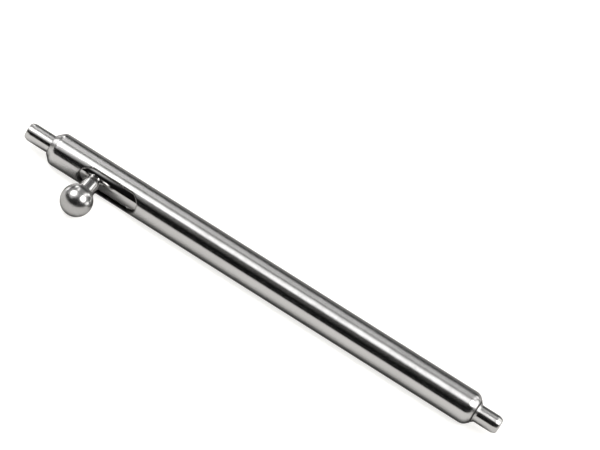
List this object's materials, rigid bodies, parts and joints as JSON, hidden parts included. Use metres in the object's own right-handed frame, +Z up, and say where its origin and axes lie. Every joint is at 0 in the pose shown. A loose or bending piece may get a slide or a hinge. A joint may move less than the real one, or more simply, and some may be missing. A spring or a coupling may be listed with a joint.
{
  "type": "quick-release spring bar",
  "caption": "Slim steel spring bar for a watch strap: slotted tube, one fixed tip, and one sprung tip drawn in by a ball-ended side lever.",
  "frame": {"origin": "on the tube's axis, half way along the tube", "axes": "+X along the tube towards the fixed tip, -Y along the lever towards its ball, +Z up with the lever lying level"},
  "size_m": [0.0233, 0.0037, 0.0014],
  "materials": {
    "tube_steel": "drawn stainless steel tube, polished",
    "pin_steel": "turned stainless steel, polished",
    "lever_steel": "turned stainless steel, mirror polished",
    "spring_wire": "drawn spring wire, plain"
  },
  "bodies": {
    "root": {"tube": "tube_steel", "fixed_pin": "pin_steel", "spring": "spring_wire"},
    "plunger": {"plunger_pin": "pin_steel", "lever": "lever_steel"}
  },
  "joints": [
    {"name": "plunger_slide", "type": "slide", "parent": "root", "child": "plunger", "axis": [1, 0, 0], "range_m": [0, 0.00177], "stiffness_N_per_m": 800, "springref_m": -0.0015, "deforming": ["spring"]}
  ]
}
